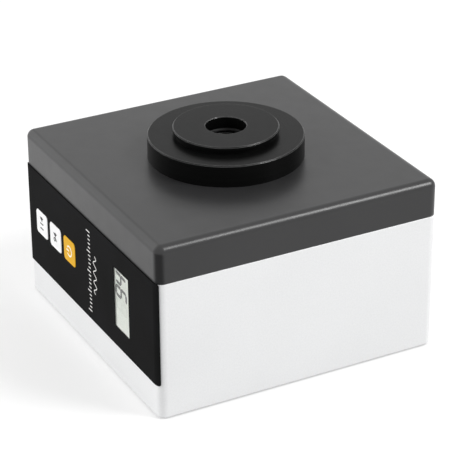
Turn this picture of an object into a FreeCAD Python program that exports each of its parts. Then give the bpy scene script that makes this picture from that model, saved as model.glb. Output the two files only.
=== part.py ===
import FreeCAD, Part
import math
import os
import re

import Sketcher

# A sound level calibrator, in millimetres. The origin lies on the surface that the feet stand on,
# under the middle of the case. +Z is up and the control panel faces -Y.

SIZES = {
    # Case shells
    "case_width": 100,
    "case_depth": 100,
    "case_height": 59.8,
    "lid_height": 12.65,
    "wall": 2.5,
    "corner_radius": 2.8,
    "inner_corner": 1.0,
    "top_fillet": 2.6,
    "bottom_fillet": 0.5,
    "fillet_margin": 0.2,
    "seam_chamfer": 0.2,
    "lip_thickness": 1.1,
    "lip_height": 1.8,
    "lip_gap": 0.15,
    # Feet under the base
    "foot_stand": 0.5,
    "foot_radius": 5,
    "foot_recess": 1.0,
    "foot_inset": 13,
    "foot_gap": 0.1,
    "foot_chamfer": 0.3,
    # Corner posts, and the screws and inserts in them
    "post_width": 7.2,
    "case_screw_radius": 1.25,
    "case_screw_head_radius": 2.25,
    "case_screw_head_height": 1.8,
    "case_screw_grip": 8,
    "case_screw_reach": 6.5,
    "insert_radius": 1.8,
    "insert_length": 7,
    "insert_room": 1.0,
    "screw_gap": 0.15,
    "screw_tip_room": 0.3,
    "thread_gap": 0.05,
    "press_gap": 0.02,
    # Panel film on the front, which laps over the seam. Keys and display sit a little below its middle
    "panel_height": 35.8,
    "panel_drop": 0.225,
    "film_lap": 0.35,
    "film_thickness": 0.4,
    "film_wrap": 0.7,
    "film_corner": 0.8,
    # Keys, in a row across the panel
    "key_width": 8.9,
    "key_height": 8.75,
    "key_corner": 1.3,
    "key_edge": 0.12,
    "key_pitch": 11.2,
    "key_inset": 12.65,
    "key_proud": 0.15,
    "key_gap": 0.12,
    "key_rim": 0.4,
    "key_rim_thickness": 0.5,
    "key_rim_gap": 0.05,
    "key_travel": 0.4,
    "key_room": 0.3,
    "key_stem_radius": 1.6,
    "key_stem_gap": 0.3,
    # Switches behind the keys
    "switch_width": 4.5,
    "switch_height": 2.0,
    "plunger_radius": 1.2,
    "plunger_reach": 1.5,
    "plunger_depth": 0.8,
    "plunger_gap": 0.1,
    # Display
    "window_inset": 25.65,
    "window_width": 10.9,
    "window_height": 21.0,
    "lens_rim": 3.2,
    "lens_thickness": 0.3,
    "lens_gap": 0.1,
    "lens_setback": 0.05,
    "lcd_margin": 2.2,
    "lcd_thickness": 2.8,
    "lcd_gap": 0.05,
    "lcd_side_gap": 0.15,
    "lcd_frame_wall": 1.2,
    "lcd_frame_gap": 0.1,
    "lcd_ledge": 1.5,
    "strip_width": 2.0,
    # Control board
    "board_height": 35,
    "board_thickness": 1.6,
    "board_standoff": 5.5,
    "board_gap": 0.5,
    "standoff_radius": 2.5,
    "standoff_edge": 3.5,
    "standoff_rise": 14.5,
    "board_screw_radius": 1.0,
    "board_screw_head_radius": 1.9,
    "board_screw_head_height": 1.3,
    "board_screw_reach": 4,
    # Parts on the board's back
    "connector_width": 6,
    "connector_height": 5,
    "connector_depth": 6,
    "power_connector_inset": 19.8,
    "power_connector_rise": -11,
    "speaker_connector_x": -8,
    "speaker_connector_rise": 5,
    "microphone_connector_x": 8,
    "microphone_connector_rise": 10,
    "chip_size": 10,
    "chip_thickness": 1.4,
    "chip_inset": 15.8,
    "capacitor_radius": 3,
    "capacitor_length": 7,
    "capacitor_pitch": 8,
    "capacitor_count": 3,
    "capacitor_inset": 9.8,
    "capacitor_rise": -11,
    # Coupler on the lid
    "flange_radius": 25.65,
    "flange_height": 7.4,
    "stem_radius": 19,
    "stem_length": 13.8,
    "stem_gap": 0.3,
    "socket_radius": 12,
    "socket_depth": 13.2,
    "cavity_radius": 10.5,
    "turned_chamfer": 0.3,
    "flange_screw_circle": 22.3,
    "flange_screw_radius": 1.5,
    "flange_screw_head_radius": 2.6,
    "flange_screw_head_height": 1.8,
    "flange_screw_reach": 5,
    # Microphone adapter and its seals
    "rim_radius": 17.4,
    "rim_height": 1.1,
    "neck_radius": 16.6,
    "neck_height": 1.5,
    "plug_length": 12.7,
    "plug_gap": 0.15,
    "port_radius": 6.7,
    "port_chamfer": 0.15,
    "port_lip": 0.8,
    "port_lip_height": 1.0,
    "port_relief": 0.4,
    "port_relief_height": 0.5,
    "seal_room": 0.15,
    "seal_gap": 0.05,
    "adapter_seal_section": 0.75,
    "adapter_seal_depth": 5.0,
    "microphone_seal_section": 0.8,
    "microphone_seal_depth": 4.8,
    # Feedback microphone in the cavity wall
    "capsule_radius": 2.9,
    "capsule_length": 6,
    "capsule_setback": 0.5,
    "bush_thickness": 0.3,
    "bush_overhang": 0.5,
    # Loudspeaker under the coupler
    "gasket_thickness": 0.5,
    "gasket_inset": 0.2,
    "frame_opening": 15,
    "frame_thickness": 1.0,
    "basket_depth": 9.5,
    "basket_wall": 0.8,
    "basket_base_radius": 10,
    "basket_window_radius": 2.0,
    "basket_window_circle": 12.4,
    "basket_windows": 6,
    "top_plate_radius": 11.2,
    "top_plate_thickness": 1.2,
    "magnet_radius": 12.2,
    "magnet_hole": 7.6,
    "magnet_height": 5,
    "yoke_radius": 11.5,
    "yoke_thickness": 1.5,
    "pole_radius": 5.5,
    "coil_gap": 0.3,
    "coil_thickness": 0.3,
    "coil_rise": 3.5,
    "coil_drop": 3.0,
    "cone_radius": 13.2,
    "cone_thickness": 0.4,
    "cone_setback": 0.65,
    "surround_roll": 0.85,
    "surround_thickness": 0.25,
    "surround_gap": 0.05,
    "cap_height": 1.8,
    "cap_thickness": 0.3,
    "speaker_screw_circle": 17.35,
    "speaker_screw_radius": 0.9,
    "speaker_screw_head_radius": 1.4,
    "speaker_screw_head_height": 1.1,
    "speaker_screw_reach": 4.5,
    "terminal_width": 10,
    "terminal_height": 6.5,
    "terminal_thickness": 1.4,
    "terminal_inset": 0.1,
    "lug_drop": 4.9,
    "lug_pitch": 5,
    "lug_width": 1.6,
    "lug_length": 2.0,
    "lug_thickness": 0.8,
    # Battery, its clip, its bay and its door
    "battery_length": 46.4,
    "battery_width": 26.5,
    "battery_height": 17.5,
    "battery_corner": 2.0,
    "terminal_pitch": 12.7,
    "stud_radius": 2.8,
    "cup_radius": 4.2,
    "stud_height": 2.0,
    "stud_gap": 0.15,
    "clip_thickness": 3.6,
    "clip_width": 24,
    "clip_height": 12,
    "clip_gap": 0.3,
    "bay_gap": 0.6,
    "bay_wall": 1.8,
    "foam_thickness": 1.5,
    "foam_margin": 2,
    "door_thickness": 2.0,
    "door_step": 1.0,
    "door_tongue": 1.0,
    "door_overlap": 1.2,
    "door_gap": 0.2,
    "grip_length": 24,
    "grip_width": 1.2,
    "grip_depth": 0.5,
    "grip_pitch": 2.6,
    "grip_count": 5,
    "grip_inset": 5,
    # Leads
    "lead_radius": 0.55,
    "lead_pitch": 1.5,
    "lead_hole_radius": 2.2,
    "battery_lead_exit": 11,
    "battery_lead_bend": 24,
    "battery_lead_rise": 3,
    "battery_lead_approach": 20,
    "battery_lead_entry": 8,
    "battery_lead_sway": 1,
    "speaker_lead_end": 4.5,
    "speaker_lead_sag": 2,
    "microphone_lead_exit": 5.5,
    "microphone_lead_entry": 4.5,
    "microphone_lead_sag": 1,
}

# Planes and places worked out from the driving dimensions
BOTTOM = "foot_stand"
FLOOR = "(foot_stand + wall)"
TOP = "(foot_stand + case_height)"
ROOF = "(foot_stand + case_height - wall)"
SEAM = "(foot_stand + case_height - lid_height)"
FRONT = "(-case_depth/2)"
REAR = "(case_depth/2)"
FRONT_INSIDE = "(wall - case_depth/2)"
REAR_INSIDE = "(case_depth/2 - wall)"
POST_X = "(case_width/2 - wall - post_width/2)"
POST_Y = "(case_depth/2 - wall - post_width/2)"
FOOT_X = "(case_width/2 - foot_inset)"
FOOT_Y = "(case_depth/2 - foot_inset)"
SCREW_SEAT = f"({SEAM} - case_screw_grip)"

PANEL_BOTTOM = f"({SEAM} + film_lap - panel_height)"
PANEL_Z = f"({PANEL_BOTTOM} + panel_height/2 - panel_drop)"
FILM_FACE = "(-case_depth/2 - film_thickness)"
KEY_FACE = f"({FILM_FACE} - key_proud)"
KEY_BACK = f"({FRONT} + key_rim_gap + key_rim_thickness)"
KEY_PLACES = {
    name: f"(key_inset + {number}*key_pitch - case_width/2)"
    for number, name in enumerate(("high", "low", "power"))
}
WINDOW_X = "(case_width/2 - window_inset)"

BOARD_FRONT = f"({FRONT_INSIDE} + board_standoff)"
BOARD_BACK = f"({BOARD_FRONT} + board_thickness)"
BOARD_HALF = "(case_width/2 - wall - post_width - board_gap)"
STANDOFF_X = f"({BOARD_HALF} - standoff_edge)"
CHIP_X = f"(chip_inset - {BOARD_HALF})"
CAPACITOR_X = f"(capacitor_inset - {BOARD_HALF})"
CONNECTOR_PLACES = {
    "power": (f"({BOARD_HALF} - power_connector_inset)", f"({PANEL_Z} + power_connector_rise)"),
    "speaker": ("speaker_connector_x", f"({PANEL_Z} + speaker_connector_rise)"),
    "microphone": ("microphone_connector_x", f"({PANEL_Z} + microphone_connector_rise)"),
}
CONNECTOR_FACE = f"({BOARD_BACK} + connector_depth)"
SWITCH_FACE = f"({BOARD_FRONT} - switch_height)"
PLUNGER_TIP = f"({SWITCH_FACE} - plunger_reach)"
PLUNGER_END = f"({SWITCH_FACE} + plunger_depth)"
LCD_FRONT = f"({FRONT} + lens_thickness + lcd_gap)"
LCD_BACK = f"({LCD_FRONT} + lcd_thickness)"
LCD_HALF_X = "(window_width/2 + lcd_margin)"
LCD_HALF_Z = "(window_height/2 + lcd_margin)"

FLANGE_TOP = f"({TOP} + flange_height)"
STEM_BOTTOM = f"({TOP} - stem_length)"
SHOULDER = f"({FLANGE_TOP} - socket_depth)"
NECK_TOP = f"({FLANGE_TOP} + neck_height)"
RIM_TOP = f"({NECK_TOP} + rim_height)"
PLUG_BOTTOM = f"({FLANGE_TOP} - plug_length)"
PLUG_RADIUS = "(socket_radius - plug_gap)"
ADAPTER_SEAL_Z = f"({FLANGE_TOP} - adapter_seal_depth)"
ADAPTER_SEAL_RADIUS = "(socket_radius - seal_gap - adapter_seal_section)"
MICROPHONE_SEAL_Z = f"({RIM_TOP} - microphone_seal_depth)"
MICROPHONE_SEAL_RADIUS = "(port_radius + seal_gap + microphone_seal_section)"
CAPSULE_Z = f"(({STEM_BOTTOM} + {SHOULDER})/2)"
CAPSULE_FRONT = "(-cavity_radius - capsule_setback)"
CAPSULE_BACK = f"({CAPSULE_FRONT} - capsule_length)"
BUSH_RADIUS = "(capsule_radius + press_gap + bush_thickness)"

FRAME_TOP = f"({STEM_BOTTOM} - gasket_thickness)"
FRAME_UNDER = f"({FRAME_TOP} - frame_thickness)"
BASKET_BOTTOM = f"({FRAME_TOP} - basket_depth)"
PLATE_BOTTOM = f"({BASKET_BOTTOM} - top_plate_thickness)"
MAGNET_BOTTOM = f"({PLATE_BOTTOM} - magnet_height)"
YOKE_BOTTOM = f"({MAGNET_BOTTOM} - yoke_thickness)"
COIL_INNER = "(pole_radius + coil_gap)"
COIL_OUTER = "(pole_radius + coil_gap + coil_thickness)"
PLATE_HOLE = "(pole_radius + 2*coil_gap + coil_thickness)"
COIL_TOP = f"({BASKET_BOTTOM} + coil_rise)"
CONE_TOP = f"({FRAME_TOP} - cone_setback)"
SURROUND_RADIUS = "(cone_radius + surround_gap + surround_roll)"
TERMINAL_BACK = "(terminal_inset - stem_radius + terminal_thickness)"
LUG_TIP = f"({TERMINAL_BACK} - terminal_thickness - lug_length)"
LUG_Z = f"({FRAME_UNDER} - lug_drop)"

BAY_HALF = "((battery_length + clip_gap + clip_thickness)/2 + bay_gap)"
BAY_FRONT = f"({REAR_INSIDE} - battery_width - 2*bay_gap)"
BATTERY_BOTTOM = "(foot_stand + door_thickness + door_gap)"
BATTERY_TOP = f"({BATTERY_BOTTOM} + battery_height)"
BATTERY_Y = f"({BAY_FRONT} + bay_gap + battery_width/2)"
BATTERY_Z = f"({BATTERY_BOTTOM} + battery_height/2)"
BATTERY_END = f"(-{BAY_HALF} + bay_gap + battery_length)"
BAY_ROOF = f"({BATTERY_TOP} + foam_thickness)"
DOOR_HALF = f"({BAY_HALF} + door_overlap)"
DOOR_FRONT = f"({BAY_FRONT} - door_overlap)"
RAIL_HALF = f"({DOOR_HALF} + door_tongue)"
CLIP_X = f"({BATTERY_END} + clip_gap + clip_thickness/2)"

AXIS = ("0", "0")
CORNERS = [(x, y) for x in ("-1", "1") for y in ("-1", "1")]
WORD = re.compile(r"[a-z_]+")
DRIVER_SHARE = 0.55
BEND_SHARE = 0.45

doc = FreeCAD.newDocument("calibrator")
sheet = doc.addObject("Spreadsheet::Sheet", "Sizes")
for row, (alias, size) in enumerate(SIZES.items(), start=1):
    sheet.set(f"A{row}", alias)
    sheet.set(f"B{row}", str(size))
    sheet.setAlias(f"B{row}", alias)
doc.recompute()
sub_parts = []


# Binding sizes to the sheet

def linked(text):
    """An expression with each size's name pointed at its cell."""
    return WORD.sub(lambda word: f"Sizes.{word.group()}" if word.group() in SIZES else word.group(), text)


def value(text):
    return float(sheet.evalExpression(linked(text)))


def bind(obj, prop, text):
    obj.setExpression(prop, linked(text))


def place(obj, x, y, z):
    for axis, text in zip("xyz", (x, y, z)):
        bind(obj, f"Placement.Base.{axis}", text)


def sub_part(obj, label):
    obj.Label = label
    sub_parts.append(obj)
    return obj


# Part primitives and booleans

def block(name, x, y, z):
    """A box from its low and high side on each axis."""
    obj = doc.addObject("Part::Box", name)
    for prop, (low, high) in zip(("Length", "Width", "Height"), (x, y, z)):
        bind(obj, prop, f"({high}) - ({low})")
    place(obj, x[0], y[0], z[0])
    return obj


def rod(name, radius, centre, low, high, along="z"):
    """A cylinder along Z, X or Y; centre gives the other two coordinates."""
    obj = doc.addObject("Part::Cylinder", name)
    bind(obj, "Radius", radius)
    bind(obj, "Height", f"({high}) - ({low})")
    turned_to(obj, along, centre, low)
    return obj


def turned_to(obj, along, centre, low):
    """Points an upright primitive along an axis and places its low end."""
    first, second = centre
    if along == "z":
        place(obj, first, second, low)
        return
    turn = {"x": (FreeCAD.Vector(0, 1, 0), 90), "y": (FreeCAD.Vector(1, 0, 0), -90)}[along]
    obj.Placement.Rotation = FreeCAD.Rotation(*turn)
    if along == "x":
        place(obj, low, first, second)
    else:
        place(obj, first, low, second)


def cut(name, base, *tools):
    obj = doc.addObject("Part::Cut", name)
    obj.Base = base
    obj.Tool = tools[0] if len(tools) == 1 else fuse(name + "_tools", *tools)
    return obj


def fuse(name, *shapes):
    obj = doc.addObject("Part::MultiFuse", name)
    obj.Shapes = list(shapes)
    return obj


def group(name, shapes):
    obj = doc.addObject("Part::Compound", name)
    obj.Links = list(shapes)
    return obj


def tube(name, inner, outer, centre, low, high, along="z"):
    wall = rod(name + "_wall", outer, centre, low, high, along)
    return cut(name, wall, rod(name + "_hole", inner, centre, low, high, along))


def screw(name, centre, sizes, seat, tip, along="z"):
    """A socket head screw whose head lies against its seat, on the side away from its tip."""
    radius, head_radius, head_height = sizes
    forward = value(tip) > value(seat)
    crown = f"({seat} - {head_height})" if forward else f"({seat} + {head_height})"
    socket = f"({seat} - {head_height}/2)" if forward else f"({seat} + {head_height}/2)"
    head = rod(name + "_head", head_radius, centre, *sorted((seat, crown), key=value), along)
    shank = rod(name + "_shank", radius, centre, *sorted((seat, tip), key=value), along)
    driver = doc.addObject("Part::Prism", name + "_driver")
    driver.Polygon = 6
    bind(driver, "Circumradius", f"{head_radius}*{DRIVER_SHARE}")
    bind(driver, "Height", f"{head_height}/2")
    turned_to(driver, along, centre, *sorted((crown, socket), key=value)[:1])
    return cut(name, fuse(name + "_blank", head, shank), driver)


# PartDesign bodies

def new_body(label):
    return sub_part(doc.addObject("PartDesign::Body", label), label)


def sketch(body, plane, level):
    """A sketch on a level of Z, or of Y for the upright plane, where it looks along +Y."""
    obj = body.newObject("Sketcher::SketchObject", body.Name + "_sketch")
    origin_plane = [f for f in body.Origin.OriginFeatures if f.Role == plane]
    obj.AttachmentSupport = [(origin_plane[0], "")]
    obj.MapMode = "FlatFace"
    bind(obj, "AttachmentOffset.Base.z", f"-({level})" if plane == "XZ_Plane" else level)
    return obj


def level_sketch(body, z):
    return sketch(body, "XY_Plane", z)


def front_sketch(body, y):
    return sketch(body, "XZ_Plane", y)


def dimension(drawing, kind, item, end, text):
    """A driving dimension: a radius, or the place of an item's end from the sketch's origin."""
    size = value(text)
    if kind == "Radius":
        constraint = Sketcher.Constraint(kind, item, size)
    else:
        constraint = Sketcher.Constraint(kind, -1, 1, item, end, size)
    bind(drawing, f"Constraints[{drawing.addConstraint(constraint)}]", text)


def polygon(drawing, points):
    flat = [FreeCAD.Vector(value(x), value(y), 0) for x, y in points]
    first = drawing.GeometryCount
    for start, end in zip(flat, flat[1:] + flat[:1]):
        drawing.addGeometry(Part.LineSegment(start, end), False)
    for side, (x, y) in enumerate(points):
        line = first + side
        after = first + (side + 1) % len(points)
        drawing.addConstraint(Sketcher.Constraint("Coincident", line, 2, after, 1))
        dimension(drawing, "DistanceX", line, 1, x)
        dimension(drawing, "DistanceY", line, 1, y)


def rectangle(drawing, x, y):
    polygon(drawing, [(x[0], y[0]), (x[1], y[0]), (x[1], y[1]), (x[0], y[1])])


def circle(drawing, centre, radius):
    middle = FreeCAD.Vector(value(centre[0]), value(centre[1]), 0)
    normal = FreeCAD.Vector(0, 0, 1)
    ring = drawing.addGeometry(Part.Circle(middle, normal, value(radius)), False)
    dimension(drawing, "Radius", ring, 0, radius)
    dimension(drawing, "DistanceX", ring, 3, centre[0])
    dimension(drawing, "DistanceY", ring, 3, centre[1])


def rounded_rectangle(drawing, centre, width, height, radius):
    left, right = f"{centre[0]} - ({width})/2", f"{centre[0]} + ({width})/2"
    low, high = f"{centre[1]} - ({height})/2", f"{centre[1]} + ({height})/2"
    x0, x1, y0, y1, r = (value(text) for text in (left, right, low, high, radius))
    normal = FreeCAD.Vector(0, 0, 1)
    starts = [(x0 + r, y0), (x1, y0 + r), (x1 - r, y1), (x0, y1 - r)]
    ends = [(x1 - r, y0), (x1, y1 - r), (x0 + r, y1), (x0, y0 + r)]
    middles = [(x1 - r, y0 + r), (x1 - r, y1 - r), (x0 + r, y1 - r), (x0 + r, y0 + r)]
    first = drawing.GeometryCount
    for side, (start, end, middle) in enumerate(zip(starts, ends, middles)):
        drawing.addGeometry(Part.LineSegment(FreeCAD.Vector(*start), FreeCAD.Vector(*end)), False)
        ring = Part.Circle(FreeCAD.Vector(*middle), normal, r)
        turn = math.radians(90*(side - 1))
        drawing.addGeometry(Part.ArcOfCircle(ring, turn, turn + math.pi/2), False)
    for edge in range(8):
        drawing.addConstraint(Sketcher.Constraint("Tangent", first + edge, 2, first + (edge + 1) % 8, 1))
    for side, direction in enumerate(("Horizontal", "Vertical", "Horizontal", "Vertical")):
        drawing.addConstraint(Sketcher.Constraint(direction, first + 2*side))
    for corner in (3, 5, 7):
        drawing.addConstraint(Sketcher.Constraint("Equal", first + 1, first + corner))
    dimension(drawing, "Radius", first + 1, 0, radius)
    dimension(drawing, "DistanceY", first, 1, low)
    dimension(drawing, "DistanceX", first + 2, 1, right)
    dimension(drawing, "DistanceY", first + 4, 1, high)
    dimension(drawing, "DistanceX", first + 6, 1, left)


def grow(body, drawing, length, reverse=False, symmetric=False):
    """Pads along the sketch's normal: +Z, or -Y from the upright plane."""
    return feature(body, "PartDesign::Pad", drawing, length, reverse, symmetric)


def carve(body, drawing, depth, reverse=False, symmetric=False):
    """Pockets against the sketch's normal: -Z, or +Y from the upright plane."""
    return feature(body, "PartDesign::Pocket", drawing, depth, reverse, symmetric)


def feature(body, kind, drawing, length, reverse, symmetric):
    before = body.Shape.Volume if body.Tip else 0
    obj = body.newObject(kind, body.Name + "_feature")
    obj.Profile = (drawing, [""])
    bind(obj, "Length", length)
    obj.Reversed = reverse
    obj.SideType = "Symmetric" if symmetric else "One side"
    doc.recompute()
    change = body.Shape.Volume - before
    if change*(1 if kind.endswith("Pad") else -1) <= 0:
        raise RuntimeError(f"{obj.Name} changes nothing on {body.Label}")
    return obj


def turned(label, profile):
    """A body turned about Z from a profile of radius and height."""
    body = new_body(label)
    drawing = front_sketch(body, "0")
    polygon(drawing, profile)
    obj = body.newObject("PartDesign::Revolution", label + "_turning")
    obj.Profile = (drawing, [""])
    obj.ReferenceAxis = (drawing, ["V_Axis"])
    obj.Angle = 360
    doc.recompute()
    return body


def edges_where(body, test):
    """Names of the edges of a body whose ends all pass a test."""
    names = []
    for number, edge in enumerate(body.Shape.Edges, start=1):
        if all(test(vertex.Point) for vertex in edge.Vertexes):
            names.append(f"Edge{number}")
    return names


def at(text, tolerance=1e-4):
    """A test that a coordinate lies on a plane."""
    level = value(text)
    return lambda coordinate: abs(coordinate - level) < tolerance


def dress(body, kind, prop, edges, size):
    base = body.Tip
    obj = body.newObject(kind, body.Name + "_dressing")
    obj.Base = (base, edges)
    bind(obj, prop, size)
    doc.recompute()
    return obj


def round_edges(body, edges, radius):
    return dress(body, "PartDesign::Fillet", "Radius", edges, radius)


def chamfer_edges(body, edges, size):
    return dress(body, "PartDesign::Chamfer", "Size", edges, size)


# Case shells, their screws and feet

def level_edges(body, z):
    on_level = at(z)
    return edges_where(body, lambda point: on_level(point.z))


def lower_case():
    body = new_body("lower_case")
    outline = level_sketch(body, BOTTOM)
    rounded_rectangle(outline, AXIS, "case_width", "case_depth", "corner_radius")
    grow(body, outline, f"{SEAM} - {BOTTOM}")
    round_edges(body, level_edges(body, BOTTOM), "bottom_fillet")
    chamfer_edges(body, level_edges(body, SEAM), "seam_chamfer")

    inside = level_sketch(body, SEAM)
    rounded_rectangle(inside, AXIS, "case_width - 2*wall", "case_depth - 2*wall", "inner_corner")
    carve(body, inside, f"{SEAM} - {FLOOR}")

    lip = level_sketch(body, SEAM)
    rounded_rectangle(lip, AXIS, "case_width - 2*(wall - lip_thickness)",
                      "case_depth - 2*(wall - lip_thickness)", "inner_corner + lip_thickness")
    rounded_rectangle(lip, AXIS, "case_width - 2*wall", "case_depth - 2*wall", "inner_corner")
    grow(body, lip, "lip_height")

    posts = level_sketch(body, FLOOR)
    for x, y in CORNERS:
        rectangle(posts, (f"{x}*({POST_X} - post_width/2)", f"{x}*({POST_X} + post_width/2)"),
                  (f"{y}*({POST_Y} - post_width/2)", f"{y}*({POST_Y} + post_width/2)"))
    grow(body, posts, f"{SEAM} - {FLOOR}")
    for radius, depth in (("case_screw_head_radius + screw_gap", f"{SCREW_SEAT} - {BOTTOM}"),
                          ("case_screw_radius + screw_gap", f"{SEAM} - {BOTTOM}")):
        holes = level_sketch(body, BOTTOM)
        for x, y in CORNERS:
            circle(holes, (f"{x}*{POST_X}", f"{y}*{POST_Y}"), radius)
        carve(body, holes, depth, reverse=True)

    recesses = level_sketch(body, BOTTOM)
    for x, y in CORNERS:
        circle(recesses, (f"{x}*{FOOT_X}", f"{y}*{FOOT_Y}"), "foot_radius + foot_gap")
    carve(body, recesses, "foot_recess", reverse=True)

    battery_bay(body)
    panel_openings(body)
    board_standoffs(body)


def battery_bay(body):
    outside = level_sketch(body, FLOOR)
    rectangle(outside, (f"-({RAIL_HALF} + door_gap + bay_wall)", f"{RAIL_HALF} + door_gap + bay_wall"),
              (f"{DOOR_FRONT} - door_gap - bay_wall", REAR_INSIDE))
    grow(body, outside, f"{BAY_ROOF} + bay_wall - {FLOOR}")
    inside = level_sketch(body, BOTTOM)
    rectangle(inside, (f"-{BAY_HALF}", BAY_HALF), (BAY_FRONT, REAR_INSIDE))
    carve(body, inside, f"{BAY_ROOF} - {BOTTOM}", reverse=True)

    # The door slides in a stepped slot that is open at the rear face
    slot = front_sketch(body, REAR)
    narrow, wide = f"({DOOR_HALF} + door_gap)", f"({RAIL_HALF} + door_gap)"
    step, ceiling = f"{BOTTOM} + door_step - door_gap", f"{BOTTOM} + door_thickness + door_gap"
    polygon(slot, [(f"-{narrow}", "0"), (narrow, "0"), (narrow, step), (wide, step),
                   (wide, ceiling), (f"-{wide}", ceiling), (f"-{wide}", step), (f"-{narrow}", step)])
    carve(body, slot, f"{REAR} - {DOOR_FRONT} + door_gap", reverse=True)

    lead_hole = front_sketch(body, BAY_FRONT)
    circle(lead_hole, (CLIP_X, BATTERY_Z), "lead_hole_radius")
    carve(body, lead_hole, f"{BAY_FRONT} - {DOOR_FRONT} + door_gap + bay_wall", reverse=True)


def panel_openings(body):
    lens_seat = front_sketch(body, FRONT)
    rectangle(lens_seat, *around(WINDOW_X, PANEL_Z, "window_width/2 + lens_rim + lens_gap",
                                 "window_height/2 + lens_rim + lens_gap"))
    carve(body, lens_seat, "lens_thickness")
    window = front_sketch(body, FRONT)
    rectangle(window, *around(WINDOW_X, PANEL_Z, f"{LCD_HALF_X} + lcd_side_gap",
                              f"{LCD_HALF_Z} + lcd_side_gap"))
    carve(body, window, "wall")
    for x in KEY_PLACES.values():
        seat = front_sketch(body, FRONT)
        rounded_rectangle(seat, (x, PANEL_Z), "key_width + 2*(key_rim + key_gap)",
                          "key_height + 2*(key_rim + key_gap)", "key_corner + key_rim + key_gap")
        carve(body, seat, "key_rim_gap + key_rim_thickness + key_travel + key_room")
        stem_hole = front_sketch(body, FRONT)
        circle(stem_hole, (x, PANEL_Z), "key_stem_radius + key_stem_gap")
        carve(body, stem_hole, "wall")


def board_standoffs(body):
    pegs = front_sketch(body, FRONT_INSIDE)
    for x, z in CORNERS:
        circle(pegs, (f"{x}*{STANDOFF_X}", f"{PANEL_Z} + {z}*standoff_rise"), "standoff_radius")
    grow(body, pegs, "board_standoff", reverse=True)
    pilots = front_sketch(body, BOARD_FRONT)
    for x, z in CORNERS:
        circle(pilots, (f"{x}*{STANDOFF_X}", f"{PANEL_Z} + {z}*standoff_rise"),
               "board_screw_radius + thread_gap")
    carve(body, pilots, "board_screw_reach + screw_tip_room", reverse=True)


def around(x, z, half_x, half_z):
    """The sides of a rectangle about a middle point."""
    return (f"{x} - ({half_x})", f"{x} + ({half_x})"), (f"{z} - ({half_z})", f"{z} + ({half_z})")


def upper_case():
    body = new_body("upper_case")
    outline = level_sketch(body, SEAM)
    rounded_rectangle(outline, AXIS, "case_width", "case_depth", "corner_radius")
    grow(body, outline, "lid_height")
    round_edges(body, level_edges(body, TOP), "min(top_fillet; corner_radius - fillet_margin)")
    chamfer_edges(body, level_edges(body, SEAM), "seam_chamfer")

    inside = level_sketch(body, SEAM)
    rounded_rectangle(inside, AXIS, "case_width - 2*wall", "case_depth - 2*wall", "inner_corner")
    carve(body, inside, "lid_height - wall", reverse=True)
    rebate = level_sketch(body, SEAM)
    rounded_rectangle(rebate, AXIS, "case_width - 2*(wall - lip_thickness - lip_gap)",
                      "case_depth - 2*(wall - lip_thickness - lip_gap)",
                      "inner_corner + lip_thickness + lip_gap")
    carve(body, rebate, "lip_height + lip_gap", reverse=True)

    posts = level_sketch(body, SEAM)
    for x, y in CORNERS:
        circle(posts, (f"{x}*{POST_X}", f"{y}*{POST_Y}"), "post_width/2 - lip_gap")
    grow(body, posts, "lid_height - wall")
    insert_holes = level_sketch(body, SEAM)
    for x, y in CORNERS:
        circle(insert_holes, (f"{x}*{POST_X}", f"{y}*{POST_Y}"), "insert_radius + press_gap")
    carve(body, insert_holes, "insert_length + insert_room", reverse=True)

    stem_hole = level_sketch(body, TOP)
    circle(stem_hole, AXIS, "stem_radius + stem_gap")
    carve(body, stem_hole, "wall")
    screw_holes = level_sketch(body, TOP)
    for x, y in CORNERS:
        circle(screw_holes, diagonal(x, y, "flange_screw_circle"), "flange_screw_radius + screw_gap")
    carve(body, screw_holes, "wall")


def diagonal(x, y, radius):
    """A point of a circle of four, on its diagonals."""
    return f"{x}*{radius}*sqrt(0.5)", f"{y}*{radius}*sqrt(0.5)"


def case_fasteners():
    sizes = ("case_screw_radius", "case_screw_head_radius", "case_screw_head_height")
    screws, inserts, feet = [], [], []
    for number, (x, y) in enumerate(CORNERS):
        post = (f"{x}*{POST_X}", f"{y}*{POST_Y}")
        foot = (f"{x}*{FOOT_X}", f"{y}*{FOOT_Y}")
        screws.append(screw(f"case_screw{number}", post, sizes, SCREW_SEAT, f"({SEAM} + case_screw_reach)"))
        inserts.append(tube(f"case_insert{number}", "case_screw_radius + thread_gap", "insert_radius",
                            post, SEAM, f"({SEAM} + insert_length)"))
        pad = rod(f"foot_pad{number}", "foot_radius", foot, "foot_chamfer", f"{BOTTOM} + foot_recess")
        toe = doc.addObject("Part::Cone", f"foot_toe{number}")
        bind(toe, "Radius1", "foot_radius - foot_chamfer")
        bind(toe, "Radius2", "foot_radius")
        bind(toe, "Height", "foot_chamfer")
        place(toe, foot[0], foot[1], "0")
        feet.append(fuse(f"foot{number}", pad, toe))
    sub_part(group("screws", screws), "case_screws")
    sub_part(group("inserts", inserts), "case_inserts")
    sub_part(group("feet", feet), "rubber_feet")


# Front panel, keys and display

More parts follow.
